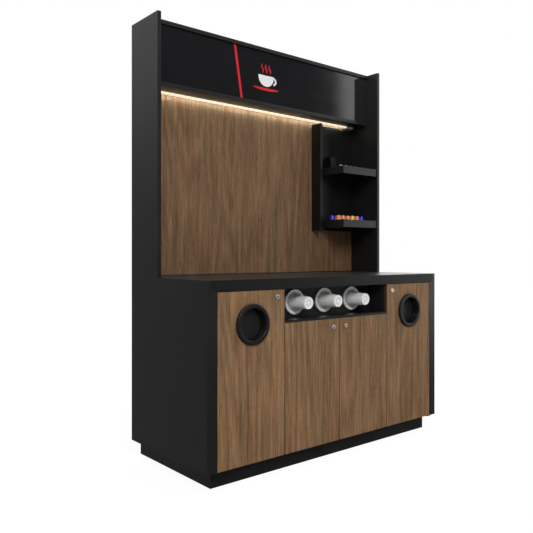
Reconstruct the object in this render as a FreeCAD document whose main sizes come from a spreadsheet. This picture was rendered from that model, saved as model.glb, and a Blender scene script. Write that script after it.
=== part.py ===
import FreeCAD
import Part
import Sketcher
import os
import re
from itertools import product

os.makedirs("parts", exist_ok=True)
doc = FreeCAD.newDocument("CoffeeStation")

# Driving dimensions in millimetres, degrees and counts
SIZES = {
    # Whole station
    "width": 1600,
    "depth": 670,
    "height": 2160,
    "counter_height": 900,
    "counter_thickness": 50,
    "side_thickness": 20,
    "cheek_thickness": 30,
    "upper_depth": 257,
    "board_thickness": 18,
    "rear_panel_thickness": 15,
    "wood_thickness": 20,
    # Plinth
    "plinth_height": 80,
    "plinth_inset": 50,
    # Doors and their pivots
    "door_thickness": 20,
    "door_side_gap": 3,
    "door_end_gap": 2,
    "door_buffer": 2,
    "divider_offset": 367,
    "pivot_inset": 5.5,
    "pivot_pin_diameter": 5,
    "pivot_clearance": 0.05,
    "pivot_depth_in_door": 25,
    "pivot_depth_in_board": 8,
    "pivot_bracket_length": 40,
    "pivot_bracket_width": 30,
    "pivot_bracket_thickness": 3,
    "pivot_bracket_setback": 0.5,
    # Locks
    "lock_edge_distance": 43,
    "outer_lock_drop": 35,
    "inner_lock_drop": 43,
    "lock_head_diameter": 22,
    "lock_head_height": 5,
    "lock_head_rounding": 1.6,
    "lock_barrel_diameter": 18,
    "lock_barrel_reach": 7,
    "lock_hole_clearance": 0.2,
    "lock_plug_diameter": 12,
    "lock_plug_clearance": 0.05,
    "lock_plug_recess": 1,
    "key_slot_length": 7,
    "key_slot_width": 1.6,
    "key_slot_depth": 2,
    "cam_gap": 0.3,
    "cam_thickness": 2.5,
    "cam_width": 14,
    "cam_reach": 30,
    "strike_thickness": 2.5,
    "strike_width": 24,
    "strike_foot": 22,
    "strike_engagement": 8,
    "strike_gap": 3,
    # Waste collars, flaps and bins
    "collar_diameter": 184,
    "collar_drop": 151,
    "collar_projection": 14,
    "collar_bore": 144,
    "collar_sleeve_wall": 9,
    "collar_sleeve_reach": 16,
    "collar_hole_clearance": 0.5,
    "collar_rounding": 5,
    "flap_edge_gap": 2,
    "flap_drop": 2,
    "flap_thickness": 4,
    "flap_pivot_rise": 58,
    "flap_pin_diameter": 5,
    "flap_pin_engagement": 5.5,
    "flap_pin_clearance": 0.05,
    "flap_setback": 3,
    "bin_side_gap": 37,
    "bin_depth": 400,
    "bin_height": 470,
    "bin_wall": 4,
    "bin_front_gap": 70,
    # Cup niche and dispensers
    "niche_height": 147,
    "niche_floor_thickness": 10,
    "niche_depth": 115,
    "dispenser_count": 3,
    "dispenser_pitch": 205,
    "flange_diameter": 125,
    "flange_thickness": 10,
    "flange_lip_width": 9,
    "flange_step": 5,
    "flange_rounding": 3,
    "tube_bore": 84,
    "tube_wall": 2,
    "tube_length": 300,
    "tube_hole_clearance": 0.5,
    "lip_ring_bore": 81,
    "lip_ring_width": 5,
    "lip_ring_thickness": 3,
    "cup_rim_diameter": 80,
    "cup_base_diameter": 58,
    "cup_length": 105,
    "cup_wall": 0.7,
    "cup_base_thickness": 1.5,
    "cup_base_recess": 3,
    "cup_rim_bead": 1.2,
    "cup_front_setback": 8,
    "cup_nesting": 12,
    "stack_count": 8,
    "pusher_diameter": 83,
    "pusher_thickness": 5,
    "pusher_skirt": 20,
    "pusher_wall": 3,
    "pusher_gap": 0.3,
    "spring_wire": 2.5,
    "spring_diameter": 50,
    "spring_turns": 9,
    "spring_end_gap": 0.3,
    # Header with its sign and lamp
    "header_depth": 171,
    "header_board_thickness": 20,
    "header_height": 324,
    "sign_setback": 11,
    "sign_thickness": 6,
    "lamp_setback": 92,
    "lamp_width": 20,
    "lamp_depth": 10,
    "lamp_wall": 1.5,
    "lamp_end_gap": 30,
    "lamp_strip_width": 10,
    "lamp_strip_thickness": 2,
    "diffuser_thickness": 2,
    "diffuser_drop": 8,
    "driver_length": 180,
    "driver_depth": 45,
    "driver_height": 30,
    "driver_end_gap": 220,
    "driver_wall_gap": 20,
    "grommet_diameter": 24,
    "grommet_bore": 14,
    "grommet_rise": 60,
    # Hanging shelf with its trays
    "shelf_width": 363,
    "shelf_top_gap": 18,
    "shelf_counter_gap": 260,
    "shelf_side_thickness": 18,
    "shelf_side_depth": 78,
    "shelf_back_thickness": 15,
    "tray_length": 305,
    "tray_height": 45,
    "tray_front_setback": 5,
    "tray_wall": 8,
    "upper_tray_recess": 16,
    "lower_tray_recess": 26,
    "upper_tray_share": 0.5213,
    "lower_tray_rise": 18,
    "capsule_rim_diameter": 37,
    "capsule_rim_thickness": 2,
    "capsule_body_diameter": 30,
    "capsule_nose_diameter": 22,
    "capsule_height": 28,
    "capsule_pitch": 42,
    "capsule_row_gap": 44,
    "capsule_row_start": 11,
    "capsule_row_shift": -9,
    "upper_capsule_count": 4,
    "upper_capsule_rows": 1,
    "upper_capsule_layers": 1,
    "upper_capsule_setback": 30,
    "lower_capsule_count": 6,
    "lower_capsule_rows": 2,
    "lower_capsule_layers": 2,
    "lower_capsule_setback": 52,
    "holder_width": 44,
    "holder_depth": 58,
    "holder_height": 84,
    "holder_wall": 3,
    "holder_rear_gap": 12,
}

# Places worked out from the driving dimensions
PLACES = {
    "front": "(collar_projection - depth) / 2",
    "rear": "(collar_projection + depth) / 2",
    "side_outer": "width / 2",
    "side_inner": "width / 2 - side_thickness",
    "cheek_inner": "side_inner - cheek_thickness",
    "upper_front": "rear - upper_depth",
    "rear_panel_front": "rear - rear_panel_thickness",
    "wood_front": "rear_panel_front - wood_thickness",
    "counter_bottom": "counter_height - counter_thickness",
    "bottom_top": "plinth_height + board_thickness",
    "door_rear": "front + door_thickness",
    "carcass_front": "door_rear + door_buffer",
    "divider_inner": "divider_offset - board_thickness / 2",
    "divider_outer": "divider_offset + board_thickness / 2",
    "niche_floor_height": "counter_bottom - niche_height",
    "niche_floor_bottom": "niche_floor_height - niche_floor_thickness",
    "niche_nose": "divider_offset - door_side_gap / 2",
    "niche_back_front": "front + niche_depth",
    "niche_back_rear": "niche_back_front + board_thickness",
    "door_bottom": "plinth_height + door_end_gap",
    "outer_door_top": "counter_bottom - door_end_gap",
    "inner_door_top": "niche_floor_bottom - door_end_gap",
    "outer_door_far": "cheek_inner - door_side_gap",
    "outer_door_near": "divider_offset + door_side_gap / 2",
    "inner_door_far": "divider_offset - door_side_gap / 2",
    "inner_door_near": "door_side_gap / 2",
    "outer_pivot": "outer_door_far - pivot_inset",
    "inner_pivot": "inner_door_far - pivot_inset",
    "pivot_y": "front + pivot_inset",
    "bracket_bottom": "plinth_height - pivot_bracket_thickness",
    "outer_lock": "outer_door_near + lock_edge_distance",
    "inner_lock": "inner_door_near + lock_edge_distance",
    "outer_lock_height": "counter_bottom - outer_lock_drop",
    "inner_lock_height": "niche_floor_bottom - inner_lock_drop",
    "barrel_end": "door_rear + lock_barrel_reach",
    "cam_front": "barrel_end + cam_gap",
    "strike_rear": "cam_front - strike_gap",
    "collar_x": "(outer_door_far + outer_door_near) / 2",
    "collar_height": "counter_bottom - collar_drop",
    "collar_front": "front - collar_projection",
    "collar_end": "door_rear + collar_sleeve_reach",
    "sleeve_radius": "collar_bore / 2 + collar_sleeve_wall",
    "flap_radius": "collar_bore / 2 - flap_drop - flap_edge_gap",
    "flap_rear": "collar_end - flap_setback",
    "flap_front": "flap_rear - flap_thickness",
    "flap_y": "flap_rear - flap_thickness / 2",
    "flap_pivot_height": "collar_height + flap_pivot_rise",
    "flap_pin_reach": "sqrt((collar_bore / 2) ^ 2 - flap_pivot_rise ^ 2) + flap_pin_engagement",
    "bin_front": "carcass_front + bin_front_gap",
    "bin_x": "(cheek_inner + divider_outer) / 2",
    "bin_width": "cheek_inner - divider_outer - 2 * bin_side_gap",
    "dispenser_height": "(niche_floor_height + counter_bottom) / 2",
    "tube_radius": "tube_bore / 2 + tube_wall",
    "flange_front": "niche_back_front - flange_thickness",
    "cup_end": "front + cup_front_setback",
    "first_rim": "cup_end + cup_length",
    "last_rim": "first_rim + cup_nesting * (stack_count - 1)",
    "pusher_front": "last_rim + pusher_gap",
    "pusher_floor": "pusher_front + pusher_thickness",
    "tube_end": "niche_back_front + tube_length",
    "spring_front": "pusher_floor + spring_end_gap + spring_wire / 2",
    "spring_rear": "tube_end - tube_wall - spring_end_gap - spring_wire / 2",
    "header_front": "rear - header_depth",
    "header_lower_height": "height - header_height",
    "header_lower_top": "header_lower_height + header_board_thickness",
    "header_upper_bottom": "height - header_board_thickness",
    "sign_front": "header_front + sign_setback",
    "sign_rear": "sign_front + sign_thickness",
    "lamp_front": "header_front + lamp_setback",
    "lamp_rear": "lamp_front + lamp_width",
    "lamp_top": "header_lower_height + lamp_depth",
    "lamp_x": "side_inner - lamp_end_gap",
    "lamp_middle": "lamp_front + lamp_width / 2",
    "driver_offset": "side_inner - driver_end_gap",
    "shelf_left": "side_inner - shelf_width",
    "shelf_top": "header_lower_height - shelf_top_gap",
    "shelf_bottom": "counter_height + shelf_counter_gap",
    "shelf_back_front": "wood_front - shelf_back_thickness",
    "tray_left": "side_inner - tray_length",
    "tray_front": "upper_front + tray_front_setback",
    "upper_tray_height": "shelf_bottom + upper_tray_share * (shelf_top - shelf_bottom)",
    "lower_tray_height": "shelf_bottom + lower_tray_rise",
}

sheet = doc.addObject("Spreadsheet::Sheet", "Size")
for row, (name, size) in enumerate(SIZES.items(), start=1):
    sheet.set(f"A{row}", name)
    sheet.set(f"B{row}", str(size))
    sheet.setAlias(f"B{row}", name)
doc.recompute()

finished = []


def expression(text):
    """Write a formula of named sizes and places as a FreeCAD expression."""
    def spell(match):
        name = match.group(0)
        if name in PLACES:
            return "(" + expression(PLACES[name]) + ")"
        return "Size." + name if name in SIZES else name
    return re.sub(r"[a-z_]+", spell, str(text))


def number(text):
    """Work out a formula of named sizes and places as a number."""
    return float(sheet.evalExpression(expression(text)))


def bind(thing, **formulas):
    """Bind properties of an object, with double underscores for dots, to formulas."""
    for name, formula in formulas.items():
        thing.setExpression(name.replace("__", "."), expression(formula))


def place(thing, x, y, z):
    bind(thing, Placement__Base__x=x, Placement__Base__y=y, Placement__Base__z=z)


def finish(thing, label):
    """Mark an object as a sub-part with its own file."""
    thing.Label = label
    finished.append(thing)
    return thing


def block(x, y, z):
    """A box between two formulas on each axis."""
    box = doc.addObject("Part::Box", "Block")
    bind(box, Length=f"({x[1]}) - ({x[0]})", Width=f"({y[1]}) - ({y[0]})", Height=f"({z[1]}) - ({z[0]})")
    place(box, x[0], y[0], z[0])
    return box


# Turns that lay a local Z axis along each of the three axes
ALONG = {
    "X": FreeCAD.Rotation(FreeCAD.Vector(0, 1, 0), 90),
    "Y": FreeCAD.Rotation(FreeCAD.Vector(1, 0, 0), -90),
    "Z": FreeCAD.Rotation(),
}


def rod(axis, start, length, radius):
    """A cylinder from a start point along one axis."""
    cylinder = doc.addObject("Part::Cylinder", "Rod")
    cylinder.Placement.Rotation = ALONG[axis]
    bind(cylinder, Radius=radius, Height=length)
    place(cylinder, *start)
    return cylinder


def cut(base, *tools):
    """Take one or more solids away from a base."""
    result = doc.addObject("Part::Cut", "Cut")
    result.Base = base
    result.Tool = tools[0] if len(tools) == 1 else group(tools)
    return result


def fuse(*solids):
    result = doc.addObject("Part::MultiFuse", "Fuse")
    result.Shapes = list(solids)
    result.Refine = True
    return result


def group(solids):
    result = doc.addObject("Part::Compound", "Group")
    result.Links = list(solids)
    return result


def outline(body, plane, points, offset="0"):
    """A closed polygon on one of a body's planes, each corner bound to two formulas."""
    sketch = body.newObject("Sketcher::SketchObject", "Outline")
    support = next(item for item in body.Origin.OriginFeatures if item.Role == plane)
    sketch.AttachmentSupport = [(support, "")]
    sketch.MapMode = "FlatFace"
    bind(sketch, AttachmentOffset__Base__z=offset)
    corners = [FreeCAD.Vector(number(across), number(along), 0) for across, along in points]
    for index, corner in enumerate(corners):
        sketch.addGeometry(Part.LineSegment(corner, corners[(index + 1) % len(corners)]), False)
    origin = -1
    for index, (across, along) in enumerate(points):
        following = (index + 1) % len(points)
        sketch.addConstraint(Sketcher.Constraint("Coincident", index, 2, following, 1))
        for kind, formula in (("DistanceX", across), ("DistanceY", along)):
            value = number(formula)
            slot = sketch.addConstraint(Sketcher.Constraint(kind, origin, 1, index, 1, value))
            sketch.setExpression(f"Constraints[{slot}]", expression(formula))
    return sketch


def plate(plane, points, low, high):
    """A polygon padded between two formulas along its plane's normal axis."""
    body = doc.addObject("PartDesign::Body", "Plate")
    # The XZ plane's normal points to -Y, so its pad starts at the high side
    offset = f"-({high})" if plane == "XZ_Plane" else low
    sketch = outline(body, plane, points, offset)
    pad = body.newObject("PartDesign::Pad", "Pad")
    pad.Profile = sketch
    bind(pad, Length=f"({high}) - ({low})")
    sketch.Visibility = False
    return body


def turned(profile, axis, centre):
    """A polygon of (radius, distance) corners turned about an axis through a centre."""
    body = doc.addObject("PartDesign::Body", "Turned")
    sketch = outline(body, "XZ_Plane", profile)
    turn = body.newObject("PartDesign::Revolution", "Turn")
    turn.Profile = sketch
    turn.ReferenceAxis = (sketch, ["V_Axis"])
    turn.Angle = 360
    sketch.Visibility = False
    body.Placement.Rotation = ALONG[axis]
    place(body, *centre)
    return body


def round_circles(body, radius, distances, size):
    """Round the circular edges of a turned body that have a radius and lie at given distances."""
    body.recompute(True)
    base = body.Tip
    wanted = [round(number(distance), 3) for distance in distances]
    names = []
    for index, edge in enumerate(base.Shape.Edges, start=1):
        if not isinstance(edge.Curve, Part.Circle):
            continue
        same_radius = abs(edge.Curve.Radius - number(radius)) < 0.001
        if same_radius and round(edge.Curve.Center.z, 3) in wanted:
            names.append(f"Edge{index}")
    fillet = body.newObject("PartDesign::Fillet", "Rounding")
    fillet.Base = (base, names)
    bind(fillet, Radius=size)
    body.Tip = fillet
    return body


def link(original, **formulas):
    """A further copy of a sub-part, moved from the first by formulas."""
    copy = doc.addObject("App::Link", "Copy")
    copy.LinkedObject = original
    copy.LinkTransform = True
    bind(copy, **formulas)
    return copy


def minus(text):
    return f"-({text})"


def mirrored(side, text):
    """A formula on the right, or its mirror image on the left."""
    return text if side == "right" else minus(text)


def span(side, near, far):
    """A pair of X formulas in rising order on one side."""
    return (near, far) if side == "right" else (minus(far), minus(near))


SIDES = ("left", "right")
FULL_INNER = (minus("side_inner"), "side_inner")


# Plinth
def make_plinth():
    outer = "side_outer - plinth_inset"
    inner = f"{outer} - board_thickness"
    face = "front + plinth_inset"
    height = ("0", "plinth_height")
    depth = (f"{face} + board_thickness", "rear - board_thickness")
    boards = [block(span(side, inner, outer), depth, height) for side in SIDES]
    for low in (face, "rear - board_thickness"):
        boards.append(block((minus(outer), outer), (low, f"{low} + board_thickness"), height))
    finish(group(boards), "plinth_boards")


# Tall side panels, full depth below the counter and shallow above it
def make_side_panels():
    points = [("front", "plinth_height"), ("rear", "plinth_height"), ("rear", "height"),
              ("upper_front", "height"), ("upper_front", "counter_height"), ("front", "counter_height")]
    cheeks = []
    for side in SIDES:
        low, high = span(side, "side_inner", "side_outer")
        finish(plate("YZ_Plane", points, low, high), f"{side}_side_panel")
        cheeks.append(block(span(side, "cheek_inner", "side_inner"), ("front", "rear_panel_front"),
                            ("plinth_height", "counter_bottom")))
    finish(group(cheeks), "inner_cheeks")


# Base carcass
def make_carcass():
    counter = block(FULL_INNER, ("front", "rear_panel_front"), ("counter_bottom", "counter_height"))
    pins = [pin_hole(side, "outer", "counter_bottom") for side in SIDES]
    finish(cut(counter, *pins), "counter_top")
    bottom = block((minus("cheek_inner"), "cheek_inner"), ("carcass_front", "rear_panel_front"),
                   ("plinth_height", "bottom_top"))
    finish(bottom, "base_bottom_panel")
    finish(block(FULL_INNER, ("rear_panel_front", "rear"), ("plinth_height", "counter_height")),
           "base_back_panel")
    for side in SIDES:
        board = block(span(side, "divider_inner", "divider_outer"), ("carcass_front", "rear_panel_front"),
                      ("bottom_top", "counter_bottom"))
        finish(board, f"{side}_divider")


def pin_hole(side, door, underside):
    """The hole of an upper pivot pin in the board above a door."""
    start = (mirrored(side, f"{door}_pivot"), "pivot_y", underside)
    return rod("Z", start, "pivot_depth_in_board", "pivot_pin_diameter / 2")


# Cup niche, whose floor has a nose between the outer doors
def make_niche():
    wide, narrow = "niche_nose", "divider_inner"
    points = [(minus(wide), "front"), (wide, "front"), (wide, "carcass_front"), (narrow, "carcass_front"),
              (narrow, "rear_panel_front"), (minus(narrow), "rear_panel_front"),
              (minus(narrow), "carcass_front"), (minus(wide), "carcass_front")]
    floor = plate("XY_Plane", points, "niche_floor_bottom", "niche_floor_height")
    pins = [pin_hole(side, "inner", "niche_floor_bottom") for side in SIDES]
    finish(cut(floor, *pins), "niche_floor")
    back = block((minus(narrow), narrow), ("niche_back_front", "niche_back_rear"),
                 ("niche_floor_height", "counter_bottom"))
    holes = []
    for index in range(int(number("dispenser_count"))):
        start = (dispenser_x(index), "niche_back_front", "dispenser_height")
        holes.append(rod("Y", start, "board_thickness", "tube_radius + tube_hole_clearance"))
    finish(cut(back, *holes), "niche_back_panel")


def dispenser_x(index):
    return f"dispenser_pitch * ({index} - (dispenser_count - 1) / 2)"


# Cup dispensers: tube, flange, lip ring, front cup, cups nested behind it, pusher and spring
def make_dispensers():
    tubes, flanges, rings, springs = [], [], [], []
    for index in range(int(number("dispenser_count"))):
        x = dispenser_x(index)
        number_from_left = index + 1
        tubes.append(make_tube(x))
        flanges.append(make_flange(x))
        rings.append(make_lip_ring(x))
        springs.append(make_spring(x))
        cup = make_cup(x)
        nested = []
        for step in range(1, int(number("stack_count"))):
            nested.append(link(cup, Placement__Base__y=f"cup_nesting * {step}"))
        finish(cup, f"front_cup_{number_from_left}")
        finish(group(nested), f"cup_stack_{number_from_left}")
        finish(make_pusher(x), f"cup_pusher_{number_from_left}")
    finish(group(tubes), "dispenser_tubes")
    finish(group(flanges), "dispenser_flanges")
    finish(group(rings), "dispenser_lip_rings")
    finish(group(springs), "feed_springs")


def make_tube(x):
    inner, outer, length = "tube_bore / 2", "tube_radius", "tube_length"
    inside = f"{length} - tube_wall"
    profile = [(inner, "0"), (outer, "0"), (outer, length), ("0", length), ("0", inside), (inner, inside)]
    return turned(profile, "Y", (x, "niche_back_front", "dispenser_height"))


def make_flange(x):
    outer, bore = "flange_diameter / 2", "tube_bore / 2"
    lip = f"{outer} - flange_lip_width"
    profile = [(bore, "flange_step"), (lip, "flange_step"), (lip, "0"), (outer, "0"),
               (outer, "flange_thickness"), (bore, "flange_thickness")]
    flange = turned(profile, "Y", (x, "flange_front", "dispenser_height"))
    return round_circles(flange, outer, ["0"], "flange_rounding")


def make_lip_ring(x):
    inner = "lip_ring_bore / 2"
    outer = "tube_bore / 2 + lip_ring_width"
    profile = [(inner, "0"), (outer, "0"), (outer, "lip_ring_thickness"), (inner, "lip_ring_thickness")]
    front = "flange_front + flange_step - lip_ring_thickness"
    return turned(profile, "Y", (x, front, "dispenser_height"))


def make_cup(x):
    rim, base, length = "cup_rim_diameter / 2", "cup_base_diameter / 2", "cup_length"
    slope = f"(({rim} - cup_rim_bead) - {base}) / {length}"
    inner_base = f"{base} + {slope} * (cup_base_recess + cup_base_thickness) - cup_wall"
    bead = f"{length} - cup_rim_bead * 2"
    wall_at_bead = f"{base} + {slope} * ({bead})"
    profile = [("0", "cup_base_recess"),
               (f"{base} + {slope} * cup_base_recess - cup_wall", "cup_base_recess"),
               (f"{base} - cup_wall", "0"),
               (base, "0"),
               (wall_at_bead, bead),
               (rim, bead),
               (rim, length),
               (f"{rim} - cup_rim_bead - cup_wall", length),
               (inner_base, "cup_base_recess + cup_base_thickness"),
               ("0", "cup_base_recess + cup_base_thickness")]
    return turned(profile, "Y", (x, "cup_end", "dispenser_height"))


def make_pusher(x):
    outer, inner = "pusher_diameter / 2", "pusher_diameter / 2 - pusher_wall"
    profile = [("0", "0"), (outer, "0"), (outer, "pusher_skirt"), (inner, "pusher_skirt"),
               (inner, "pusher_thickness"), ("0", "pusher_thickness")]
    return turned(profile, "Y", (x, "pusher_front", "dispenser_height"))


def make_spring(x):
    helix = doc.addObject("Part::Helix", "Helix")
    helix.SegmentLength = 1
    length = "(spring_rear - spring_front)"
    # A coarse pitch from the start keeps the turns few while the height is bound
    helix.Pitch = number(length)
    bind(helix, Radius="spring_diameter / 2", Height=length, Pitch=f"{length} / spring_turns")
    wire = doc.addObject("Part::Circle", "Wire")
    wire.Placement.Rotation = FreeCAD.Rotation(FreeCAD.Vector(1, 0, 0), 90)
    bind(wire, Radius="spring_wire / 2", Placement__Base__x="spring_diameter / 2")
    helix.recompute()
    coil = doc.addObject("Part::Sweep", "Coil")
    coil.Sections = [wire]
    coil.Spine = (helix, [f"Edge{index}" for index in range(1, len(helix.Shape.Edges) + 1)])
    coil.Solid = True
    coil.Frenet = True
    coil.Placement.Rotation = ALONG["Y"]
    place(coil, x, "spring_front", "dispenser_height")
    return coil


# Doors, each on two pivot pins, with a lock and, on the outer two, a waste collar
DOORS = {
    "left_waste": ("left", "outer"),
    "left_cupboard": ("left", "inner"),
    "right_cupboard": ("right", "inner"),
    "right_waste": ("right", "outer"),
}


def make_doors():
    brackets, pins, strikes = [], [], []
    for name, (side, kind) in DOORS.items():
        top, lock_height = f"{kind}_door_top", f"{kind}_lock_height"
        panel = block(span(side, f"{kind}_door_near", f"{kind}_door_far"), ("front", "door_rear"),
                      ("door_bottom", top))
        pivot = mirrored(side, f"{kind}_pivot")
        lock = mirrored(side, f"{kind}_lock")
        bore = "pivot_pin_diameter / 2 + pivot_clearance"
        tools = [rod("Z", (pivot, "pivot_y", "door_bottom"), "pivot_depth_in_door", bore),
                 rod("Z", (pivot, "pivot_y", f"{top} - pivot_depth_in_door"), "pivot_depth_in_door", bore),
                 rod("Y", (lock, "front", lock_height), "door_thickness",
                     "lock_barrel_diameter / 2 + lock_hole_clearance")]
        if kind == "outer":
            tools.append(rod("Y", (mirrored(side, "collar_x"), "front", "collar_height"), "door_thickness",
                             "sleeve_radius + collar_hole_clearance"))
            make_waste_inlet(side)
        finish(cut(panel, *tools), f"{name}_door")
        make_lock(name, side, lock, lock_height)
        pins.extend(make_pivot_pins(pivot, top))
        brackets.append(make_pivot_bracket(pivot))
        strikes.append(make_strike(kind, lock, lock_height))
    finish(group(pins), "door_pivot_pins")
    finish(group(brackets), "lower_pivot_brackets")
    finish(group(strikes), "lock_strikes")


def make_pivot_pins(pivot, top):
    radius, seat = "pivot_pin_diameter / 2", "pivot_depth_in_door - door_end_gap"
    lower = rod("Z", (pivot, "pivot_y", "bracket_bottom"), f"door_bottom - bracket_bottom + {seat}", radius)
    upper = rod("Z", (pivot, "pivot_y", f"{top} - ({seat})"),
                f"{seat} + door_end_gap + pivot_depth_in_board", radius)
    return [lower, upper]


def make_pivot_bracket(pivot):
    """A steel tongue under the bottom panel that reaches forward under the door."""
    half = "pivot_bracket_width / 2"
    face = "front + pivot_bracket_setback"
    tongue = block((f"{pivot} - {half}", f"{pivot} + {half}"),
                   (face, f"{face} + pivot_bracket_length"), ("bracket_bottom", "plinth_height"))
    hole = rod("Z", (pivot, "pivot_y", "bracket_bottom"), "pivot_bracket_thickness", "pivot_pin_diameter / 2")
    return cut(tongue, hole)


def make_strike(kind, lock, lock_height):
    """A steel angle that hangs from the board above, in front of the turned cam."""
    above = "counter_bottom" if kind == "outer" else "niche_floor_bottom"
    half = "strike_width / 2"
    x = (f"{lock} - {half}", f"{lock} + {half}")
    lip_bottom = f"{lock_height} + cam_reach - strike_engagement"
    lip = block(x, ("strike_rear - strike_thickness", "strike_rear"), (lip_bottom, above))
    foot = block(x, ("strike_rear", "strike_rear + strike_foot"), (f"{above} - strike_thickness", above))
    return fuse(lip, foot)


def make_lock(name, side, x, height):
    head, barrel = "lock_head_diameter / 2", "lock_barrel_diameter / 2"
    bore = "lock_plug_diameter / 2 + lock_plug_clearance"
    length = "lock_head_height + door_thickness + lock_barrel_reach"
    start = "front - lock_head_height"
    profile = [(bore, "0"), (head, "0"), (head, "lock_head_height"), (barrel, "lock_head_height"),
               (barrel, length), (bore, length)]
    housing = turned(profile, "Y", (x, start, height))
    finish(round_circles(housing, head, ["0"], "lock_head_rounding"), f"{name}_lock_housing")
    plug = rod("Y", (x, f"{start} + lock_plug_recess", height),
               f"{length} - lock_plug_recess + cam_gap + cam_thickness", "lock_plug_diameter / 2")
    # The cam points to the hinge side while the lock is open
    near, far = minus("cam_width / 2"), "cam_reach"
    reach = (f"{x} + ({near})", f"{x} + {far}") if side == "right" else (f"{x} - {far}", f"{x} - ({near})")
    cam = block(reach, ("cam_front", "cam_front + cam_thickness"),
                (f"{height} - cam_width / 2", f"{height} + cam_width / 2"))
    slot = block((f"{x} - key_slot_width / 2", f"{x} + key_slot_width / 2"),
                 (f"{start} + lock_plug_recess", f"{start} + lock_plug_recess + key_slot_depth"),
                 (f"{height} - key_slot_length / 2", f"{height} + key_slot_length / 2"))
    finish(cut(fuse(plug, cam), slot), f"{name}_lock_cam")


def make_waste_inlet(side):
    x = mirrored(side, "collar_x")
    outer, bore, sleeve = "collar_diameter / 2", "collar_bore / 2", "sleeve_radius"
    length = "collar_projection + door_thickness + collar_sleeve_reach"
    profile = [(bore, "0"), (outer, "0"), (outer, "collar_projection"), (sleeve, "collar_projection"),
               (sleeve, length), (bore, length)]
    collar = turned(profile, "Y", (x, "collar_front", "collar_height"))
    round_circles(collar, outer, ["0"], "collar_rounding")
    round_circles(collar, bore, ["0"], "collar_rounding")
    reach = "flap_pin_reach"
    hole = rod("X", (f"{x} - ({reach}) - flap_pin_clearance", "flap_y", "flap_pivot_height"),
               f"2 * ({reach} + flap_pin_clearance)", "flap_pin_diameter / 2 + flap_pin_clearance")
    finish(cut(collar, hole), f"{side}_waste_collar")
    disc = rod("Y", (x, "flap_front", "collar_height - flap_drop"), "flap_thickness", "flap_radius")
    pin = rod("X", (f"{x} - ({reach})", "flap_y", "flap_pivot_height"), f"2 * ({reach})",
              "flap_pin_diameter / 2")
    finish(fuse(disc, pin), f"{side}_waste_flap")


def make_bins():
    bins = []
    for side in SIDES:
        x = mirrored(side, "bin_x")
        shell = block((f"{x} - bin_width / 2", f"{x} + bin_width / 2"),
                      ("bin_front", "bin_front + bin_depth"), ("bottom_top", "bottom_top + bin_height"))
        inside = block((f"{x} - bin_width / 2 + bin_wall", f"{x} + bin_width / 2 - bin_wall"),
                       ("bin_front + bin_wall", "bin_front + bin_depth - bin_wall"),
                       ("bottom_top + bin_wall", "bottom_top + bin_height"))
        bins.append(cut(shell, inside))
    finish(group(bins), "waste_bins")


# Wall above the counter
def make_back_wall():
    hole = [rod("Y", ("driver_offset", face, "header_lower_top + grommet_rise"), thickness,
                "grommet_diameter / 2")
            for face, thickness in (("wood_front", "wood_thickness"),
                                    ("rear_panel_front", "rear_panel_thickness"))]
    wood = block(FULL_INNER, ("wood_front", "rear_panel_front"), ("counter_height", "header_upper_bottom"))
    finish(cut(wood, hole[0]), "wood_back_panel")
    rear = block(FULL_INNER, ("rear_panel_front", "rear"), ("counter_height", "height"))
    finish(cut(rear, hole[1]), "upper_rear_panel")
    length = "wood_thickness + rear_panel_thickness"
    profile = [("grommet_bore / 2", "0"), ("grommet_diameter / 2", "0"), ("grommet_diameter / 2", length),
               ("grommet_bore / 2", length)]
    grommet = turned(profile, "Y", ("driver_offset", "wood_front", "header_lower_top + grommet_rise"))
    finish(grommet, "cable_grommet")


# Header with the sign panel and the lamp underneath
def make_header():
    finish(block(FULL_INNER, ("header_front", "rear_panel_front"), ("header_upper_bottom", "height")),
           "header_top_board")
    lower = block(FULL_INNER, ("header_front", "wood_front"), ("header_lower_height", "header_lower_top"))
    lamp_span = (minus("lamp_x"), "lamp_x")
    groove = block(lamp_span, ("lamp_front", "lamp_rear"), ("header_lower_height", "lamp_top"))
    finish(cut(lower, groove), "header_lower_board")
    finish(block(FULL_INNER, ("sign_front", "sign_rear"), ("header_lower_top", "header_upper_bottom")),
           "sign_panel")
    outer = block(lamp_span, ("lamp_front", "lamp_rear"), ("header_lower_height", "lamp_top"))
    inner = block(lamp_span, ("lamp_front + lamp_wall", "lamp_rear - lamp_wall"),
                  ("header_lower_height", "lamp_top - lamp_wall"))
    finish(cut(outer, inner), "lamp_profile")
    strip = block(lamp_span, ("lamp_middle - lamp_strip_width / 2", "lamp_middle + lamp_strip_width / 2"),
                  ("lamp_top - lamp_wall - lamp_strip_thickness", "lamp_top - lamp_wall"))
    finish(strip, "lamp_light_strip")
    diffuser = block(lamp_span, ("lamp_front + lamp_wall", "lamp_rear - lamp_wall"),
                     ("header_lower_height - diffuser_drop", "header_lower_height + diffuser_thickness"))
    finish(diffuser, "lamp_diffuser")
    driver = block(("driver_offset - driver_length / 2", "driver_offset + driver_length / 2"),
                   ("wood_front - driver_wall_gap - driver_depth", "wood_front - driver_wall_gap"),
                   ("header_lower_top", "header_lower_top + driver_height"))
    finish(driver, "lamp_driver")


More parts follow.
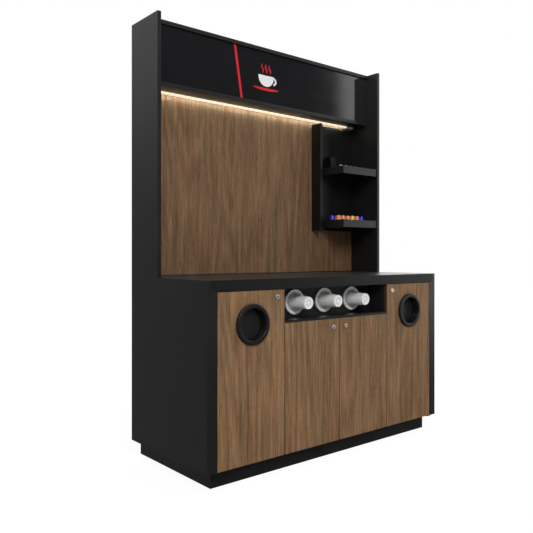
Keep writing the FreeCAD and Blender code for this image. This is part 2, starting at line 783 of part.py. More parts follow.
# Hanging shelf: side, back, two trays and what lies in them
def make_shelf():
    height = ("shelf_bottom", "shelf_top")
    side = block(("shelf_left", "shelf_left + shelf_side_thickness"),
                 ("wood_front - shelf_side_depth", "wood_front"), height)
    finish(side, "shelf_side_panel")
    back = block(("shelf_left + shelf_side_thickness", "side_inner"),
                 ("shelf_back_front", "wood_front"), height)
    finish(back, "shelf_back_panel")
    capsules = []
    for level in ("upper", "lower"):
        low = f"{level}_tray_height"
        high = f"{low} + tray_height"
        slab = block(("tray_left", "side_inner"), ("tray_front", "shelf_back_front"), (low, high))
        recess = block(("tray_left + tray_wall", "side_inner - tray_wall"),
                       ("tray_front + tray_wall", "shelf_back_front - tray_wall"),
                       (f"{high} - {level}_tray_recess", high))
        finish(cut(slab, recess), f"{level}_tray")
        capsules.extend(make_capsules(f"{high} - {level}_tray_recess", level))
    finish(group(capsules), "coffee_capsules")
    make_holder()


def make_capsules(floor, level):
    """Staggered rows of capsules that stand on their rims in a tray, or on the capsules below."""
    rim, body, nose = "capsule_rim_diameter / 2", "capsule_body_diameter / 2", "capsule_nose_diameter / 2"
    profile = [("0", "0"), (rim, "0"), (rim, "capsule_rim_thickness"), (body, "capsule_rim_thickness"),
               (nose, "capsule_height"), ("0", "capsule_height")]
    first_x = "tray_left + tray_wall + capsule_rim_diameter / 2 + capsule_row_start"
    first_y = f"tray_front + tray_wall + {level}_capsule_setback + capsule_rim_diameter / 2"
    count, rows, layers = (int(number(f"{level}_capsule_{kind}")) for kind in ("count", "rows", "layers"))
    # The upper tray has fewer, which leaves room for the holder
    capsules = []
    for layer, row, index in product(range(layers), range(rows), range(count)):
        centre = (f"{first_x} + capsule_pitch * {index} + capsule_row_shift * {row}",
                  f"{first_y} + capsule_row_gap * {row}",
                  f"{floor} + capsule_height * {layer}")
        capsules.append(turned(profile, "Z", centre))
    return capsules


def make_holder():
    floor = "upper_tray_height + tray_height - upper_tray_recess"
    left = "tray_left + 2 * tray_wall"
    far = "shelf_back_front - tray_wall - holder_rear_gap"
    near = f"{far} - holder_depth"
    shell = block((left, f"{left} + holder_width"), (near, far), (floor, f"{floor} + holder_height"))
    inside = block((f"{left} + holder_wall", f"{left} + holder_width - holder_wall"),
                   (f"{near} + holder_wall", f"{far} - holder_wall"),
                   (f"{floor} + holder_wall", f"{floor} + holder_height"))
    finish(cut(shell, inside), "stirrer_holder")


def export():
    """Check every object and sub-part, then write one file each."""
    doc.recompute()
    for item in doc.Objects:
        if "Invalid" in item.State or "Error" in item.State:
            raise RuntimeError(f"{item.Name} {item.Label} is {item.State}")
    for item in finished:
        if item.Shape.isNull() or not item.Shape.isValid() or not item.Shape.Solids:
            raise RuntimeError(f"{item.Label} has no valid solid")
        item.Shape.exportStep(f"parts/{item.Label}.step")
    print(len(finished), "sub-parts written")


make_plinth()
make_side_panels()
make_carcass()
make_niche()
make_dispensers()
make_doors()
make_bins()
make_back_wall()
make_header()
make_shelf()
export()
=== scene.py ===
"""Looks of the coffee station: materials, fittings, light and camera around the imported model."""
import math

import bmesh
import bpy
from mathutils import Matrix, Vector


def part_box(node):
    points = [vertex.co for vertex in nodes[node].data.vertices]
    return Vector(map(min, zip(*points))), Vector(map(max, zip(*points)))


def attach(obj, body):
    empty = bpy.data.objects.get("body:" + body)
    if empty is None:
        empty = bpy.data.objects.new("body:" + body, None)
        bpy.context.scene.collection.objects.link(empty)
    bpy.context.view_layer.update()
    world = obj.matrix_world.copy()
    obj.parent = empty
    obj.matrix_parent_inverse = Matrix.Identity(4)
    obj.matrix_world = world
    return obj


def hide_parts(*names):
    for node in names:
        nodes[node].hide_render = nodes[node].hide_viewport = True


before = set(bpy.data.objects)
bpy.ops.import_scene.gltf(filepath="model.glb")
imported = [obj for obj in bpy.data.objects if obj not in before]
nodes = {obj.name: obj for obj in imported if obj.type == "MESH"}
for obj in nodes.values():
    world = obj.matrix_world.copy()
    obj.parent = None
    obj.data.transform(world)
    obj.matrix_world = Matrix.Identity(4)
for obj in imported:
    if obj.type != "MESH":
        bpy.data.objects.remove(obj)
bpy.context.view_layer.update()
scene = bpy.context.scene

# Camera fitted to the corners in the photograph
CAMERA_PLACE = (-2.2697, -2.4834, 1.0089)
CAMERA_YAW = math.radians(39.754)
CAMERA_LENS = 41.86
CAMERA_SENSOR = 36.0
CAMERA_SHIFT = -0.0221

# Rounding of edges, angles over which edges are rounded or drawn sharp, and the distance at which
# corners of a mesh are joined first
EDGE_ROUNDING = 0.0005
SMALL_PIECE_ROUNDING = 0.0008
ROUNDED_ANGLE = math.radians(50)
SHARP_ANGLE = math.radians(35)
JOIN_DISTANCE = 0.00001

DOORS = ("left_waste", "left_cupboard", "right_cupboard", "right_waste")
CUP_NUMBERS = (1, 2, 3)
WHITE = (1.0, 1.0, 1.0)


# Material helpers
def add(tree, kind, inputs=None, **settings):
    """Add a node, with plain values or links for its inputs."""
    made = tree.nodes.new(kind)
    for key, value in settings.items():
        setattr(made, key, value)
    for key, value in (inputs or {}).items():
        if isinstance(value, bpy.types.NodeSocket):
            tree.links.new(value, made.inputs[key])
        else:
            made.inputs[key].default_value = value
    return made


def start(name, **sockets):
    """A new material with constant values on its shader's sockets."""
    material = bpy.data.materials.new(name)
    material.use_nodes = True
    tree = material.node_tree
    shader = tree.nodes["Principled BSDF"]
    for key, value in sockets.items():
        shader.inputs[key.replace("_", " ")].default_value = value
    return material, tree, shader


def opaque(colour):
    return (*colour, 1.0)


def tint(colour, factor):
    return tuple(min(1.0, part * factor) for part in colour)


def point(tree, scale=(1, 1, 1), shift=(0, 0, 0)):
    """Metres in a piece's own frame, stretched by a scale."""
    place = add(tree, "ShaderNodeTexCoord").outputs["Object"]
    inputs = {"Vector": place, "Scale": scale, "Location": shift}
    return add(tree, "ShaderNodeMapping", inputs).outputs[0]


def facing(tree, axis):
    """How far a surface faces along an axis of its own piece, from minus one to one."""
    normal = add(tree, "ShaderNodeTexCoord").outputs["Normal"]
    return add(tree, "ShaderNodeSeparateXYZ", {0: normal}).outputs[axis]


def noise(tree, where, scale, detail=2.0, rough=0.5, twist=0.0):
    inputs = {"Vector": where, "Scale": scale, "Detail": detail, "Roughness": rough,
              "Distortion": twist}
    return add(tree, "ShaderNodeTexNoise", inputs).outputs[0]


def ramp(tree, factor, *stops):
    """Colours or grey levels at positions along a factor."""
    made = add(tree, "ShaderNodeValToRGB", {"Fac": factor})
    elements = made.color_ramp.elements
    elements.remove(elements[1])
    for index, (position, colour) in enumerate(stops):
        element = elements[0] if index == 0 else elements.new(position)
        element.position = position
        element.color = opaque(colour if isinstance(colour, tuple) else (colour,) * 3)
    return made.outputs[0]


def toned(tree, factor, colour, low, high):
    """A colour that varies between two tints of itself."""
    return ramp(tree, factor, (0.3, tint(colour, low)), (0.7, tint(colour, high)))


def mix(tree, factor, first, second, blend="MIX"):
    made = add(tree, "ShaderNodeMix", data_type="RGBA", blend_type=blend)
    for index, value in ((0, factor), (6, first), (7, second)):
        if isinstance(value, bpy.types.NodeSocket):
            tree.links.new(value, made.inputs[index])
        else:
            made.inputs[index].default_value = value if index == 0 else opaque(value)
    return made.outputs[2]


def math_node(tree, operation, *values):
    return add(tree, "ShaderNodeMath", dict(enumerate(values)), operation=operation).outputs[0]


def map_range(tree, value, target, source=(0.0, 1.0), **settings):
    """A value carried from one range over to another."""
    inputs = {"Value": value, "From Min": source[0], "From Max": source[1],
              "To Min": target[0], "To Max": target[1]}
    return add(tree, "ShaderNodeMapRange", inputs, **settings).outputs[0]


def bump(tree, shader, height, strength, distance):
    inputs = {"Height": height, "Strength": strength, "Distance": distance}
    tree.links.new(add(tree, "ShaderNodeBump", inputs).outputs[0], shader.inputs["Normal"])


def feed(tree, shader, **outputs):
    for key, output in outputs.items():
        tree.links.new(output, shader.inputs[key.replace("_", " ")])


# Materials. Scales are in marks per metre, depths in metres.
CLOUD_SCALE = 7.0
GRAIN_SCALE = 1500.0
GRAIN_DEPTH = 0.0002
# How far a face looks up where a worktop's polish begins and where it is full
UPWARD_FACING = (0.3, 0.9)


def clouds(tree, where, scale=CLOUD_SCALE):
    return noise(tree, where, scale, 4.0, 0.6)


def grained(name, colour, roughness, spread=0.12, cloud=CLOUD_SCALE, grain=GRAIN_SCALE, depth=0.06,
            **sockets):
    """A moulded or laminated surface with soft mottling and a fine grain."""
    material, tree, shader = start(name, **sockets)
    where = point(tree)
    soft = clouds(tree, where, cloud)
    feed(tree, shader,
         Base_Color=toned(tree, soft, colour, 1 - spread, 1 + spread),
         Roughness=ramp(tree, soft, (0.25, roughness - 0.05), (0.75, roughness + 0.05)))
    bump(tree, shader, noise(tree, where, grain), depth, GRAIN_DEPTH)
    return material


WOOD_DARK = (0.096, 0.050, 0.024)
WOOD_RED = (0.186, 0.098, 0.048)
WOOD_OLIVE = (0.158, 0.099, 0.052)
WOOD_LIGHT = (0.262, 0.151, 0.077)
EDGE_BAND_TONE = 0.3
# Layers of the wood decor: squeeze along the grain, then scale, detail, roughness and twist
WOOD_TONES = (0.09, 24.0, 3.0, 0.55)
WOOD_GROWTH = (0.11, 4.2, 1.5, 0.45)
WOOD_STREAKS = (0.042, 66.0, 4.5, 0.64, 0.6)
WOOD_FIBRES = (0.03, 300.0, 3.0, 0.6, 0.25)
WOOD_PORES = (0.045, 640.0, 1.0)
# Phase that the growth field spans, and the share of each layer in the lightness
GROWTH_PHASE = 95.0
STREAK_SHARE, FIBRE_SHARE, LINE_SHARE = 0.50, 0.50, 0.046


def wood(name, shift, depth=1.0, specular=0.08):
    """Wood decor that runs upwards, with growth lines, streaks, fibres, pores and edge bands."""
    material, tree, shader = start(name, Specular_IOR_Level=specular)

    def layer(squeeze, scale, *texture):
        return noise(tree, point(tree, (1, 1, squeeze), shift), scale, *texture)

    def share(value, part):
        return math_node(tree, "MULTIPLY", value, part)

    tones, growth, streaks, fibres, pores = (
        layer(*settings)
        for settings in (WOOD_TONES, WOOD_GROWTH, WOOD_STREAKS, WOOD_FIBRES, WOOD_PORES))
    lines = math_node(tree, "SINE", share(growth, GROWTH_PHASE))
    level = math_node(tree, "ADD", share(streaks, STREAK_SHARE), share(fibres, FIBRE_SHARE))
    level = math_node(tree, "ADD", level, share(lines, LINE_SHARE))
    # A depth below one darkens every tone of the decor; on the back panel it is painted shade.
    red, olive, dark, light = (tint(tone, depth)
                               for tone in (WOOD_RED, WOOD_OLIVE, WOOD_DARK, WOOD_LIGHT))
    hue = mix(tree, ramp(tree, tones, (0.36, 0.0), (0.62, 1.0)), red, olive)
    darkened = mix(tree, ramp(tree, level, (0.36, 0.80), (0.50, 0.0)), hue, dark)
    lightened = mix(tree, ramp(tree, level, (0.50, 0.0), (0.65, 0.90)), darkened, light)
    pitted = ramp(tree, pores, (0.30, 0.45), (0.37, 1.0))
    face = mix(tree, 1.0, lightened, pitted, "MULTIPLY")
    sideways = math_node(tree, "ABSOLUTE", facing(tree, 0))
    banded = mix(tree, ramp(tree, sideways, (0.6, 0.0), (0.8, 0.85)), face,
                 tint(WOOD_DARK, EDGE_BAND_TONE))
    feed(tree, shader, Base_Color=banded,
         Roughness=ramp(tree, level, (0.3, 0.62), (0.7, 0.48)))
    bump(tree, shader, mix(tree, 0.5, fibres, pitted), 0.12, 0.0003)
    return material


def gloss(name, colour, roughness):
    """A polished face with faint wiping marks in its gloss."""
    material, tree, shader = start(name, Specular_IOR_Level=0.5)
    wiped = noise(tree, point(tree, (1, 1, 3)), 9.0, 5.0, 0.65, 0.6)
    feed(tree, shader,
         Base_Color=toned(tree, noise(tree, point(tree), 5.0), colour, 0.9, 1.1),
         Roughness=ramp(tree, wiped, (0.35, roughness), (0.75, roughness + 0.05)))
    return material


def worktop(name, colour, top_roughness, edge_roughness, specular=0.3, painted_sheen=1.0):
    """Laminate with a polish, a lighter tone on its upper face as painted sheen, and satin edges.
    """
    material, tree, shader = start(name, Specular_IOR_Level=specular)
    where = point(tree)
    soft = clouds(tree, where)
    upwards = map_range(tree, facing(tree, 2), (0.0, 1.0), UPWARD_FACING)
    level = map_range(tree, upwards, (edge_roughness, top_roughness))
    wiped = math_node(tree, "MULTIPLY", noise(tree, where, 11.0, 5.0, 0.65, 0.5), 0.05)
    edge_tone, top_tone = (toned(tree, soft, colour, share * 0.88, share * 1.12)
                           for share in (1.0, painted_sheen))
    feed(tree, shader, Base_Color=mix(tree, upwards, edge_tone, top_tone),
         Roughness=math_node(tree, "ADD", level, wiped))
    bump(tree, shader, noise(tree, where, GRAIN_SCALE), 0.02, GRAIN_DEPTH)
    return material


def paper(name, colour):
    """Coated cup board with faint fibres along the cup."""
    material, tree, shader = start(name, Specular_IOR_Level=0.4)
    fibres = noise(tree, point(tree, (1, 0.15, 1)), 900.0, 4.0, 0.6)
    feed(tree, shader,
         Base_Color=toned(tree, noise(tree, point(tree), 60.0), colour, 0.96, 1.03),
         Roughness=ramp(tree, fibres, (0.3, 0.42), (0.7, 0.55)))
    bump(tree, shader, fibres, 0.08, GRAIN_DEPTH)
    return material


def metal(name, colour, roughness, stretch=(1, 1, 1), scale=500.0):
    """Bare or plated metal with fine brushing along one direction."""
    material, tree, shader = start(name, Metallic=1.0)
    lines = noise(tree, point(tree, stretch), scale, 3.0, 0.6)
    feed(tree, shader,
         Base_Color=toned(tree, lines, colour, 0.88, 1.06),
         Roughness=ramp(tree, lines, (0.3, roughness - 0.06), (0.7, roughness + 0.08)))
    bump(tree, shader, lines, 0.05, 0.0001)
    return material


def glowing(name, colour, strength, pitch):
    """A lit diffuser whose light varies a little with the light points behind it."""
    material, tree, shader = start(name, Base_Color=opaque(colour), Emission_Color=opaque(colour),
                                   Roughness=0.5)
    dots = add(tree, "ShaderNodeTexWave", {"Vector": point(tree), "Scale": pitch},
               bands_direction="X")
    feed(tree, shader, Emission_Strength=map_range(tree, dots.outputs["Fac"],
                                                   (strength * 0.94, strength * 1.06)))
    return material


BLACK = (0.0092, 0.0092, 0.0090)
WORKTOP_BLACK = tint(BLACK, 0.85)
MOULDED = {"grain": 900.0, "depth": 0.15, "Specular_IOR_Level": 0.3}
laminate = grained("black_laminate_face", BLACK, 0.40, Specular_IOR_Level=0.35)
# The shelf boards get the black laminate at 0.63 of its tone: painted shade inside the shelf.
shelf_laminate_painted_shade = grained("black_laminate_painted_shade", tint(BLACK, 0.63), 0.42, Specular_IOR_Level=0.22)
laminate_edge = grained("black_laminate_edge", tint(BLACK, 1.5), 0.5, Specular_IOR_Level=0.3)
polished_black = worktop("black_laminate_polished", WORKTOP_BLACK, 0.15, 0.44)
# The counter's upper face is 2.8 times lighter than its edges: painted sheen of the bright
# surroundings on the black laminate.
counter_black = worktop("black_laminate_counter", WORKTOP_BLACK, 0.34, 0.42, specular=0.20,
                        painted_sheen=2.8)
sign_black = gloss("sign_gloss", (0.0068, 0.0071, 0.0080), 0.085)
moulded_black = grained("moulded_black", (0.0072, 0.0072, 0.0072), 0.38, **MOULDED)
flap_black = grained("flap_black", (0.0125, 0.0125, 0.0125), 0.42, **MOULDED)
holder_black = grained("holder_black", (0.0035, 0.0035, 0.0035), 0.5, grain=900.0,
                       Specular_IOR_Level=0.15)
cap_grey = grained("cap_grey", (0.030, 0.030, 0.031), 0.45, grain=900.0, depth=0.1)
bin_grey = grained("bin_grey", (0.055, 0.056, 0.058), 0.5, grain=700.0, depth=0.2)
pale_plastic = grained("pale_plastic", (0.70, 0.685, 0.665), 0.42, spread=0.04, cloud=40.0)
tube_plastic = grained("tube_plastic", (0.30, 0.31, 0.32), 0.25, spread=0.06)
soft_lip = grained("soft_lip", (0.40, 0.385, 0.37), 0.6, spread=0.06, cloud=60.0)
cup_paper = paper("cup_paper", (0.63, 0.63, 0.62))
base_paper = paper("base_paper", (0.65, 0.65, 0.645))
lock_metal = metal("lock_metal", (0.95, 0.95, 0.94), 0.40, (1, 6, 1), 900.0)
plain_steel = metal("plain_steel", (0.56, 0.56, 0.57), 0.34, (6, 1, 1))
blackened_steel = metal("blackened_steel", (0.045, 0.045, 0.047), 0.42, (6, 1, 1))
profile_metal = metal("profile_metal", (0.70, 0.70, 0.71), 0.32, (0.05, 1, 1))
end_cap_grey = grained("end_cap_grey", (0.34, 0.34, 0.345), 0.38, spread=0.06, cloud=60.0)
lamp_light = glowing("lamp_light", (1.0, 0.86, 0.64), 0.78, 20.0)
strip_board = grained("strip_board", (0.80, 0.80, 0.76), 0.5, spread=0.05)
driver_plastic = grained("driver_plastic", (0.70, 0.70, 0.69), 0.5, spread=0.05)

# Boards with edge bands, and the finish of their faces
BANDED = {node: laminate for node in (
    "plinth_boards", "left_side_panel", "right_side_panel", "inner_cheeks", "base_bottom_panel",
    "base_back_panel", "left_divider", "right_divider", "upper_rear_panel", "header_top_board",
    "header_lower_board", "upper_tray", "lower_tray")}
BANDED.update({
    # The shelf boards' darker laminate is painted shade.
    "shelf_side_panel": shelf_laminate_painted_shade, "shelf_back_panel": shelf_laminate_painted_shade,
    "counter_top": counter_black, "niche_floor": polished_black, "niche_back_panel": polished_black,
})
# Pieces with one finish all over
FINISHES = {
    "sign_panel": sign_black, "waste_bins": bin_grey, "dispenser_flanges": pale_plastic,
    "dispenser_tubes": tube_plastic, "dispenser_lip_rings": soft_lip, "lock_strikes": plain_steel,
    "lower_pivot_brackets": blackened_steel, "door_pivot_pins": blackened_steel,
    "feed_springs": plain_steel, "lamp_profile": profile_metal, "lamp_diffuser": lamp_light,
    "lamp_light_strip": strip_board, "lamp_driver": driver_plastic,
    "stirrer_holder": holder_black, "cable_grommet": moulded_black,
    "left_waste_collar": moulded_black, "right_waste_collar": moulded_black,
    "left_waste_flap": flap_black, "right_waste_flap": flap_black,
}
for door in DOORS:
    FINISHES[f"{door}_lock_housing"] = lock_metal
    FINISHES[f"{door}_lock_cam"] = plain_steel
for cup in CUP_NUMBERS:
    FINISHES[f"cup_stack_{cup}"] = cup_paper
    FINISHES[f"cup_pusher_{cup}"] = pale_plastic
ROUNDED = ("sign_panel", "stirrer_holder", "lamp_driver", "waste_bins")
# Shift of the wood decor from door to door, and on the back panel
DOOR_DECOR_STEP = (0.37, 0.0, 0.21)
BACK_DECOR_SHIFT = (1.9, 0.0, 0.6)


def paint(node, *materials):
    slots = nodes[node].data.materials
    slots.clear()
    for material in materials:
        slots.append(material)


def ease_edges(node, width=EDGE_ROUNDING, edge_slot=-1):
    """Round a piece's edges, with the edge band's own material where a slot is named."""
    board = nodes[node]
    weld = board.modifiers.new("join_corners", "WELD")
    weld.merge_threshold = JOIN_DISTANCE
    bevel = board.modifiers.new("eased_edges", "BEVEL")
    bevel.width = width
    bevel.segments = 2
    bevel.limit_method = "ANGLE"
    bevel.angle_limit = ROUNDED_ANGLE
    bevel.harden_normals = True
    bevel.material = edge_slot


for node, material in FINISHES.items():
    paint(node, material)
for node, material in BANDED.items():
    paint(node, material, laminate_edge)
    ease_edges(node, edge_slot=1)
for index, door in enumerate(DOORS):
    decor_shift = tuple(part * index for part in DOOR_DECOR_STEP)
    paint(f"{door}_door", wood(f"wood_{door}", decor_shift))
    ease_edges(f"{door}_door")
# The back panel's wood is the door decor darkened to 0.84: painted shade under the header.
paint("wood_back_panel", wood("wood_back", BACK_DECOR_SHIFT, depth=0.84, specular=0.13))
for node in ROUNDED:
    ease_edges(node, SMALL_PIECE_ROUNDING)


# Mesh helpers
def piece(name, mesh, body, slot, *materials):
    """A new object on a body, with its finishes."""
    made = bpy.data.objects.new(name, mesh)
    scene.collection.objects.link(made)
    for material in materials:
        mesh.materials.append(material)
    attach(made, body)
    return made


def finished_mesh(name, work):
    """Turn a bmesh into a mesh that is smooth apart from its sharp edges."""
    bmesh.ops.recalc_face_normals(work, faces=work.faces)
    for face in work.faces:
        face.smooth = True
    for edge in work.edges:
        if len(edge.link_faces) == 2 and edge.calc_face_angle() > SHARP_ANGLE:
            edge.smooth = False
    mesh = bpy.data.meshes.new(name)
    work.to_mesh(mesh)
    work.free()
    return mesh


def evenly(first, last, count):
    return [first + (last - first) * step / (count - 1) for step in range(count)]


def turned_place(centre, axis, radius, angle, distance):
    across, up = radius * math.cos(angle), radius * math.sin(angle)
    offset = (across, distance, up) if axis == "Y" else (across, up, distance)
    return Vector(centre) + Vector(offset)


def turn(work, profile, centre, axis, segments, slot=0, flutes=(0, 0.0, 0.0, 0.0)):
    """Add a closed turned body from (radius, distance) points.

    Flutes are given by their count, depth, and first and last distance.
    """
    flute_count, flute_depth, flute_low, flute_high = flutes
    rings = []
    for radius, distance in profile:
        if radius == 0:
            rings.append([work.verts.new(turned_place(centre, axis, 0, 0, distance))])
            continue
        ring = []
        for step in range(segments):
            angle = 2 * math.pi * step / segments
            reach = radius
            if flute_count and flute_low <= distance <= flute_high:
                reach += flute_depth * math.cos(flute_count * angle)
            ring.append(work.verts.new(turned_place(centre, axis, reach, angle, distance)))
        rings.append(ring)
    pairs = list(zip(rings, rings[1:]))
    if profile[0][0] != 0:
        pairs.append((rings[-1], rings[0]))
    for first, second in pairs:
        for step in range(segments):
            following = (step + 1) % segments
            corners = [first[step % len(first)], first[following % len(first)],
                       second[following % len(second)], second[step % len(second)]]
            unique = list(dict.fromkeys(corners))
            if len(unique) > 2:
                work.faces.new(unique).material_index = slot


def arc_points(centre, radius, first, last, steps):
    """(radius, distance) points on an arc of a profile, with angles in degrees."""
    points = []
    for degrees in evenly(first, last, steps + 1):
        angle = math.radians(degrees)
        points.append((centre[0] + radius * math.cos(angle), centre[1] + radius * math.sin(angle)))
    return points


# Front cups with a rolled rim, a foot band and a grooved base of a board of its own
CUP_WALL = 0.0007
CUP_BEAD = 0.0012
CUP_FOOT, CUP_FOOT_STEP, CUP_FOOT_EDGE = 0.013, 0.0008, 0.0006
CUP_FLOOR = 0.0075
CUP_BASE_RADIUS = 0.029
CUP_BASE_DEPTH = 0.002
CUP_SEGMENTS = 96
# Where the outer and the inner wall end below the rim's top
CUP_OUTER_END, CUP_INNER_END = 0.0032, 0.004
# (radius, distance) points of the base, from its middle out over the groove
CUP_BASE = [(0.0, 0.0016), (0.0128, 0.0016), (0.0132, 0.0058), (0.0160, 0.0058), (0.0164, 0.0010)]


def cup_profile(length, rim, base):
    """(radius, distance) points of a cup's section, from its base round to its inner floor."""
    slope = (rim - CUP_BEAD - base) / length

    def outside(distance):
        return base + slope * distance

    under = CUP_BASE + [(outside(0.0) - 0.0014, 0.0004)]
    outer = [(outside(CUP_FOOT_EDGE) + 0.0003, 0.0),
             (outside(CUP_FOOT_EDGE) + 0.0005, CUP_FOOT_EDGE),
             (outside(CUP_FOOT) + CUP_FOOT_STEP, CUP_FOOT),
             (outside(CUP_FOOT), CUP_FOOT + CUP_FOOT_STEP),
             (outside(length - CUP_OUTER_END), length - CUP_OUTER_END)]
    roll = arc_points((rim - CUP_BEAD, length - CUP_BEAD), CUP_BEAD, -80, 170, 10)
    inner = [(outside(length - CUP_INNER_END) - CUP_WALL, length - CUP_INNER_END),
             (outside(CUP_FLOOR) - CUP_WALL, CUP_FLOOR), (0.0, CUP_FLOOR)]
    return under + outer + roll + inner


def make_front_cups():
    for cup in CUP_NUMBERS:
        node = f"front_cup_{cup}"
        low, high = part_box(node)
        centre = ((low.x + high.x) / 2, low.y, (low.z + high.z) / 2)
        profile = cup_profile(high.y - low.y, (high.x - low.x) / 2, CUP_BASE_RADIUS)
        work = bmesh.new()
        turn(work, profile, centre, "Y", CUP_SEGMENTS)
        for face in work.faces:
            if face.calc_center_median().y < low.y + CUP_BASE_DEPTH:
                face.material_index = 1
        made = piece(f"paper_cup_{cup}", finished_mesh(f"paper_cup_{cup}", work), node,
                     "white_paper", cup_paper, base_paper)
        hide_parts(node)


# Coffee capsules with fluted sides, a rim and a dome, in several colours
CAPSULE_COLOURS = {
    "blue": (0.012, 0.022, 0.55), "orange": (0.62, 0.20, 0.030), "pink": (0.62, 0.17, 0.12),
    "yellow": (0.80, 0.42, 0.012), "cream": (0.70, 0.55, 0.46), "grey": (0.26, 0.25, 0.235),
}
# Rows of the lower tray from the lower layer up and from front to rear, then the upper tray's row
CAPSULE_ROWS = (
    ("orange", "cream", "pink", "blue", "orange", "pink"),
    ("pink", "yellow", "blue", "cream", "orange", "blue"),
    ("pink", "orange", "pink", "yellow", "pink", "blue"),
    ("blue", "orange", "cream", "orange", "pink", "cream"),
    ("grey", "cream", "grey", "grey"),
)
ROW_SPACING = 0.02
CAPSULE_RIM, CAPSULE_BODY, CAPSULE_NOSE = 0.0185, 0.015, 0.011
CAPSULE_HEIGHT = 0.028
CAPSULE_FLUTES = (18, 0.00035, 0.005, CAPSULE_HEIGHT - 0.0075)
CAPSULE_SEGMENTS = 54


def capsule_places():
    """Centres of the standing capsules, found from the separate shells of the node's mesh."""
    work = bmesh.new()
    work.from_mesh(nodes["coffee_capsules"].data)
    bmesh.ops.remove_doubles(work, verts=work.verts, dist=JOIN_DISTANCE)
    unseen = set(work.verts)
    places = []
    while unseen:
        shell, edge_of_search = set(), [next(iter(unseen))]
        while edge_of_search:
            corner = edge_of_search.pop()
            if corner in shell:
                continue
            shell.add(corner)
            edge_of_search.extend(edge.other_vert(corner) for edge in corner.link_edges)
        unseen -= shell
        low = [min(corner.co[axis] for corner in shell) for axis in range(3)]
        high = [max(corner.co[axis] for corner in shell) for axis in range(3)]
        places.append(((low[0] + high[0]) / 2, (low[1] + high[1]) / 2, low[2]))
    work.free()
    return places


def capsule_profile():
    """(radius, height) points of a capsule that stands on its rim."""
    rim, body, nose, height = CAPSULE_RIM, CAPSULE_BODY, CAPSULE_NOSE, CAPSULE_HEIGHT
    profile = [(0.0, 0.0006), (rim - 0.0022, 0.0006), (rim - 0.0016, 0.0)]
    profile += arc_points((rim - 0.001, 0.001), 0.001, -90, 90, 6)
    profile += [(body + 0.0008, 0.002), (body, 0.0028), (body - 0.0006, 0.006),
                (nose + 0.0016, height - 0.008)]
    profile += arc_points((nose - 0.005, height - 0.0062), 0.006, 8, 82, 6)
    profile += [(0.004, height - 0.0002), (0.0036, height - 0.0008), (0.0, height - 0.0008)]
    return profile


def make_capsules():
    colours = list(CAPSULE_COLOURS)
    rows = {}
    for place in capsule_places():
        rows.setdefault((place[2] // ROW_SPACING, place[1] // ROW_SPACING), []).append(place)
    profile = capsule_profile()
    work = bmesh.new()
    for pattern, key in zip(CAPSULE_ROWS, sorted(rows)):
        for colour, place in zip(pattern, sorted(rows[key])):
            turn(work, profile, place, "Z", CAPSULE_SEGMENTS, colours.index(colour), CAPSULE_FLUTES)
    finishes = [grained(f"capsule_{name}", colour, 0.34, spread=0.05, cloud=90.0)
                for name, colour in CAPSULE_COLOURS.items()]
    made = piece("capsules", finished_mesh("capsules", work), "cabinet", "capsule_foil", *finishes)
    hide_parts("coffee_capsules")


# Sign graphics: a slanted stripe and a plain cup emblem, as films on the sign
FILM = 0.0004
STRIPE_TOP, STRIPE_BOTTOM, STRIPE_WIDTH = -0.281, -0.234, 0.0148
# The emblem's parts, measured from its middle
EMBLEM_X = -0.055
BOWL_HALF_WIDTH, BOWL_HEIGHT, BOWL_TOP = 0.056, 0.062, 0.012
BOWL_TAPER, BOWL_FULLNESS = 0.18, 0.6
BOWL_STEPS = 20
HANDLE_X, HANDLE_Z = BOWL_HALF_WIDTH - 0.006, -0.014
HANDLE_RADII, HANDLE_FLATNESS = (0.025, 0.014), 0.95
HANDLE_SPAN, HANDLE_STEPS = 80, 12
SAUCER_HALF_WIDTH, SAUCER_DEPTH, SAUCER_Z = 0.092, 0.015, -0.058
SAUCER_STEPS = 24
STEAM_PLACES = (-0.026, 0.0, 0.026)
STEAM_SWAY, STEAM_BOTTOM, STEAM_HEIGHT, STEAM_WIDTH = 0.006, 0.024, 0.05, 0.009
STEAM_STEPS = 16
# Share of a stroke's width at its ends
STROKE_END = 0.35
stripe_red = grained("stripe_red", (0.52, 0.006, 0.016), 0.40, spread=0.04, Specular_IOR_Level=0.3)
emblem_white = grained("emblem_white", (0.62, 0.62, 0.61), 0.4, spread=0.03)
emblem_red = grained("emblem_red", (0.46, 0.006, 0.014), 0.40, spread=0.04, Specular_IOR_Level=0.3)


def film(work, outline, face, slot=0):
    """Add a thin film with an (x, z) outline on a face at a Y place."""
    front = [work.verts.new((x, face - FILM, z)) for x, z in outline]
    rear = [work.verts.new((x, face, z)) for x, z in outline]
    faces = [work.faces.new(front), work.faces.new(rear[::-1])]
    for index in range(len(outline)):
        following = (index + 1) % len(outline)
        faces.append(work.faces.new((front[index], rear[index], rear[following], front[following])))
    for made in faces:
        made.material_index = slot


def ribbon(path, width):
    """The outline of a stroke along a path, thinner towards its ends."""
    left, right = [], []
    for index, (x, z) in enumerate(path):
        before = path[max(index - 1, 0)]
        after = path[min(index + 1, len(path) - 1)]
        along = Vector((after[0] - before[0], after[1] - before[1])).normalized()
        swell = math.sin(math.pi * index / (len(path) - 1))
        reach = width / 2 * (STROKE_END + (1 - STROKE_END) * swell)
        left.append((x - along.y * reach, z + along.x * reach))
        right.append((x + along.y * reach, z - along.x * reach))
    return left + right[::-1]


def bowl_outline():
    outline = [(-BOWL_HALF_WIDTH, BOWL_TOP), (BOWL_HALF_WIDTH, BOWL_TOP)]
    for angle in evenly(0.0, math.pi, BOWL_STEPS + 1)[1:-1]:
        width = BOWL_HALF_WIDTH * (1 - BOWL_TAPER * math.sin(angle))
        outline.append((width * math.cos(angle),
                        BOWL_TOP - BOWL_HEIGHT * math.sin(angle) ** BOWL_FULLNESS))
    return outline


